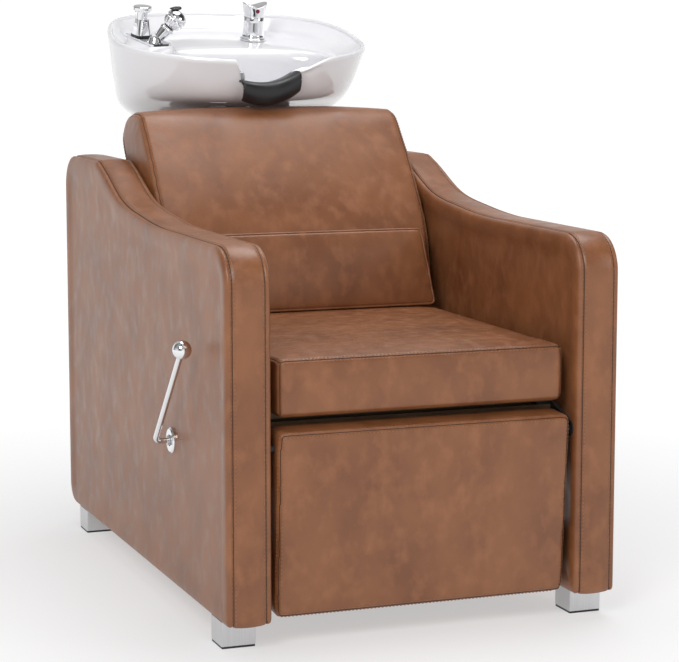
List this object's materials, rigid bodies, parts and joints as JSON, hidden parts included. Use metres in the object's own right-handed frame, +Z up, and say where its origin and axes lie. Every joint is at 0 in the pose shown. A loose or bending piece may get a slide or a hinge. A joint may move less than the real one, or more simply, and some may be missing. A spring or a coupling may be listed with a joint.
{
  "type": "shampoo backwash unit",
  "caption": "Upholstered salon wash chair with a lever-raised footrest and, behind the backrest, a tilting glazed basin with neck notch, lever tap, pull-out sprayer and waste.",
  "frame": {"origin": "on the floor, at the centre of the four levelling-foot holes under the legs", "axes": "+Z up, +Y from the footrest towards the basin, +X towards the sitter's left hand"},
  "size_m": [0.695, 1.2103, 0.9962],
  "materials": {
    "tan_leather": "satin",
    "rear_vinyl": "satin",
    "timber": "matte",
    "brushed_leg": "satin",
    "zinc_steel": "satin",
    "black_steel": "satin",
    "chrome": "polished",
    "white_glaze": "gloss",
    "black_rubber": "satin",
    "black_plastic": "gloss",
    "bush_plastic": "matte",
    "marker_red": "gloss"
  },
  "bodies": {
    "chair": {"backrest_battens": "timber", "backrest_board": "timber", "backrest_cushion": "tan_leather", "basin_uprights": "black_steel", "front_left_leg": "brushed_leg", "front_right_leg": "brushed_leg", "front_seat_rail": "timber", "left_arm_cover": "tan_leather", "left_arm_panel": "timber", "left_seat_rail": "black_steel", "leg_bolts": "zinc_steel", "leg_pads": "black_rubber", "lever_escutcheon": "chrome", "lower_front_rail": "timber", "lower_rear_rail": "timber", "lumbar_pillow": "tan_leather", "rear_left_leg": "brushed_leg", "rear_panel": "rear_vinyl", "rear_right_leg": "brushed_leg", "rear_seat_rail": "timber", "right_arm_cover": "tan_leather", "right_arm_panel": "timber", "right_seat_rail": "black_steel", "seat_board": "timber", "seat_cushion": "tan_leather", "shaft_bushes": "bush_plastic", "stand_bolts": "zinc_steel", "tilt_bracket": "black_steel", "tilt_pins": "zinc_steel", "upper_rear_rail": "timber"},
    "footrest": {"footrest_pad": "tan_leather", "footrest_board": "timber", "footrest_brackets": "black_steel", "footrest_pins": "black_steel"},
    "lever": {"cross_shaft": "zinc_steel", "cranks": "black_steel", "lever_rod": "chrome", "lever_knob": "chrome"},
    "right_link": {"right_push_rod": "black_steel"},
    "left_link": {"left_push_rod": "black_steel"},
    "basin": {"basin_cradle": "black_steel", "basin": "white_glaze", "basin_well": "white_glaze", "neck_rest": "black_rubber", "drain_flange": "chrome", "drain_tailpiece": "chrome", "tap_base": "chrome", "tap_nut": "zinc_steel", "tap_body": "chrome", "accessory_plate": "chrome", "breaker_gasket": "black_rubber", "breaker_body": "chrome", "breaker_cap": "chrome", "sprayer_holder": "chrome"},
    "tap_stem": {"tap_stem": "zinc_steel"},
    "tap_handle": {"tap_handle": "chrome", "tap_indicator": "marker_red"},
    "sprayer": {"spray_head": "chrome"},
    "spray_trigger": {"spray_trigger": "black_plastic"},
    "strainer": {"drain_strainer": "chrome"}
  },
  "joints": [
    {"name": "footrest_lift", "type": "hinge", "parent": "chair", "child": "footrest", "pos_m": [0, -0.466, 0.312], "axis": [-1, 0, 0], "range_deg": [0, 85]},
    {"name": "lever_turn", "type": "hinge", "parent": "chair", "child": "lever", "pos_m": [0, -0.192, 0.282], "axis": [-1, 0, 0], "range_deg": [0, 85]},
    {"name": "right_link_turn", "type": "hinge", "parent": "lever", "child": "right_link", "pos_m": [-0.237, -0.122, 0.202], "axis": [-1, 0, 0], "range_deg": [-85, 0]},
    {"name": "left_link_turn", "type": "hinge", "parent": "lever", "child": "left_link", "pos_m": [0.237, -0.122, 0.202], "axis": [-1, 0, 0], "range_deg": [-85, 0]},
    {"name": "basin_tilt", "type": "hinge", "parent": "chair", "child": "basin", "pos_m": [0, 0.51, 0.715], "axis": [1, 0, 0], "range_deg": [-12, 0]},
    {"name": "tap_turn", "type": "hinge", "parent": "basin", "child": "tap_stem", "pos_m": [0.07, 0.57467, 0.92177], "axis": [0, -0.1942, 0.981], "range_deg": [-45, 45]},
    {"name": "tap_lift", "type": "hinge", "parent": "tap_stem", "child": "tap_handle", "pos_m": [0.07, 0.58447, 0.97163], "axis": [-1, 0, 0], "range_deg": [0, 12]},
    {"name": "sprayer_pull", "type": "slide", "parent": "basin", "child": "sprayer", "axis": [0.6691, -0.1443, 0.729], "range_m": [0, 0.08]},
    {"name": "trigger_press", "type": "slide", "parent": "sprayer", "child": "spray_trigger", "axis": [0, 0.1942, -0.981], "range_m": [0, 0.0022], "stiffness_N_per_m": 400},
    {"name": "strainer_lift", "type": "slide", "parent": "basin", "child": "strainer", "axis": [0, 0, 1], "range_m": [0, 0.05]}
  ],
  "couplings": [
    {"joint": "lever_turn", "follows": "footrest_lift", "ratio": 1},
    {"joint": "right_link_turn", "follows": "footrest_lift", "ratio": -1},
    {"joint": "left_link_turn", "follows": "footrest_lift", "ratio": -1}
  ]
}
